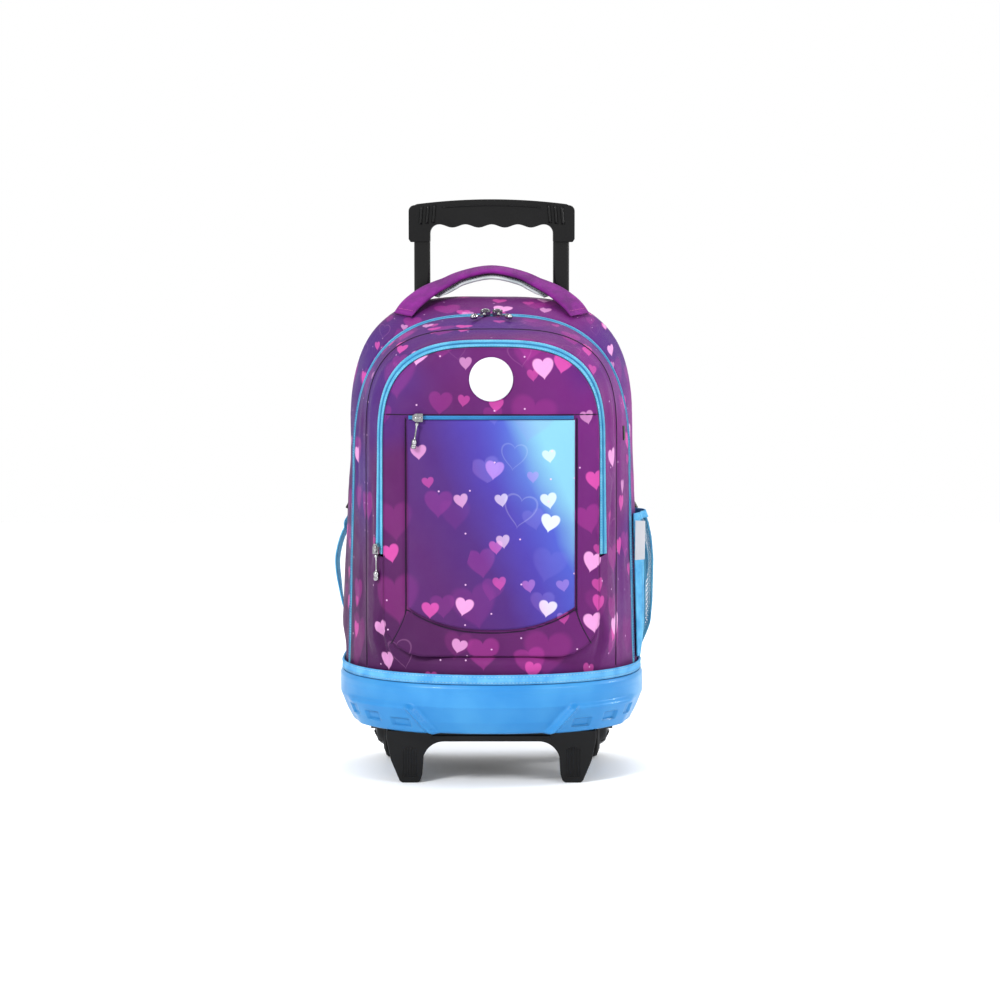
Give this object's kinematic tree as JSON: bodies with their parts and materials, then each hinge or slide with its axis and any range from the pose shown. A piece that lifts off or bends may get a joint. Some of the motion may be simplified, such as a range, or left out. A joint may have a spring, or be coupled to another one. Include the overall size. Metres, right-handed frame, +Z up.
{
  "type": "wheeled backpack",
  "caption": "School backpack on a hard tray base with rear wheels, front feet, a telescopic trolley handle, zipped compartments, a padded carry handle and shoulder straps.",
  "frame": {"origin": "centre of the footprint on the floor that the feet and wheels stand on", "axes": "+Z up, the front of the bag faces -Y, +X is the wearer's left and the picture's right"},
  "size_m": [0.3274, 0.2336, 0.5743],
  "materials": {
    "printed_fabric": "woven polyester with a printed heart scatter",
    "panel_fabric": "woven polyester with a colour gradient",
    "back_fabric": "plain woven polyester",
    "strap_fabric": "padded woven polyester",
    "zip_tape": "woven tape over a coil zip",
    "webbing": "ribbed woven tape",
    "mesh": "open net",
    "air_mesh": "spacer mesh",
    "rim_binding": "woven binding with stitching",
    "tray": "satin moulded plastic",
    "black_plastic": "satin moulded plastic",
    "hub_plastic": "semi gloss",
    "wheel_rubber": "matt",
    "tube": "black coated, semi gloss",
    "steel": "plain",
    "pull_metal": "nickel plated",
    "badge": "bare, no print"
  },
  "bodies": {
    "bag": {"base_tray": "tray", "base_rim": "rim_binding", "front_stand": "black_plastic", "chassis_plate": "black_plastic", "wheel_housing_right": "black_plastic", "wheel_housing_left": "black_plastic", "axle": "steel", "main_shell": "printed_fabric", "main_zip": "zip_tape", "front_shell": "printed_fabric", "pocket_gusset": "printed_fabric", "pocket_zip": "zip_tape", "pocket_face": "printed_fabric", "center_panel": "panel_fabric", "panel_zip": "zip_tape", "badge": "badge", "back_sleeve": "back_fabric", "outer_tube_right": "tube", "outer_tube_left": "tube", "tube_guide": "black_plastic", "carry_handle": "printed_fabric", "handle_pad": "air_mesh", "shoulder_strap_right": "strap_fabric", "shoulder_strap_left": "strap_fabric", "strap_adjuster_right": "black_plastic", "strap_adjuster_left": "black_plastic", "strap_webbing_right": "webbing", "strap_webbing_left": "webbing", "bottle_pocket": "mesh", "bottle_pocket_binding": "webbing", "bottle_pocket_mouth": "webbing", "side_tag": "badge", "zip_slider_main_right": "pull_metal", "zip_slider_main_left": "pull_metal", "zip_pull_main_right": "pull_metal", "zip_pull_main_left": "pull_metal", "zip_slider_pocket": "pull_metal", "zip_pull_pocket": "pull_metal", "zip_slider_panel": "pull_metal", "zip_pull_panel": "pull_metal"},
    "handle_middle": {"middle_tube_right": "tube", "middle_tube_left": "tube"},
    "handle_upper": {"inner_tube_right": "tube", "inner_tube_left": "tube", "trolley_grip": "black_plastic"},
    "wheel_right": {"tyre_right": "wheel_rubber", "hub_right": "hub_plastic"},
    "wheel_left": {"tyre_left": "wheel_rubber", "hub_left": "hub_plastic"}
  },
  "joints": [
    {"name": "handle_lower_slide", "type": "slide", "parent": "bag", "child": "handle_middle", "axis": [0, 0, 1], "range_m": [0, 0.2]},
    {"name": "handle_upper_slide", "type": "slide", "parent": "handle_middle", "child": "handle_upper", "axis": [0, 0, 1], "range_m": [-0.045, 0.22]},
    {"name": "wheel_right_spin", "type": "hinge", "parent": "bag", "child": "wheel_right", "pos_m": [0.102, 0.085, 0.034], "axis": [1, 0, 0], "continuous": true},
    {"name": "wheel_left_spin", "type": "hinge", "parent": "bag", "child": "wheel_left", "pos_m": [-0.102, 0.085, 0.034], "axis": [1, 0, 0], "continuous": true}
  ]
}
